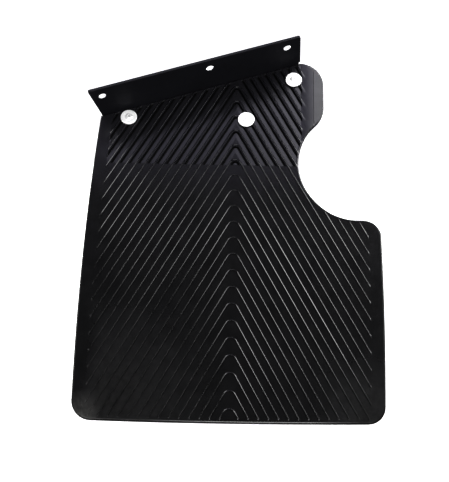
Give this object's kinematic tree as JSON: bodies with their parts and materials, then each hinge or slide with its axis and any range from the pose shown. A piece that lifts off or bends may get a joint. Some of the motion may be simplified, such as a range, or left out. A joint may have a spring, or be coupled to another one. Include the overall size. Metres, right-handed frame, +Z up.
{
  "type": "mud flap",
  "caption": "Ribbed rubber mud flap with an exhaust cut-out, riveted to a folded steel mounting bracket.",
  "frame": {"origin": "centre of the middle bolt hole on the seating (upper) face of the bracket's flange", "axes": "+Z up as fitted, +X to the right across the ribbed face, the ribbed face looks along -Y; the bracket rises to the right at 18.7 degrees"},
  "size_m": [0.3416, 0.0716, 0.4611],
  "materials": {
    "black_steel": "satin black powder coat",
    "rubber": "satin moulded rubber",
    "zinc_steel": "bright zinc plate",
    "rivet_aluminium": "bright",
    "mandrel_steel": "plain"
  },
  "bodies": {
    "clamped": {"mounting_bracket": "black_steel", "flap_head": "rubber", "washer_left": "zinc_steel", "washer_middle": "zinc_steel", "washer_right": "zinc_steel", "rivet_left": "rivet_aluminium", "rivet_middle": "rivet_aluminium", "rivet_right": "rivet_aluminium", "mandrel_left": "mandrel_steel", "mandrel_middle": "mandrel_steel", "mandrel_right": "mandrel_steel"},
    "skirt": {"flap_skirt": "rubber"}
  },
  "joints": [
    {"name": "skirt_flex", "type": "hinge", "parent": "clamped", "child": "skirt", "pos_m": [0.034, 0.0419, -0.11181], "axis": [1, 0, 0], "range_deg": [-45, 60], "stiffness_Nm_per_rad": 0.25}
  ]
}
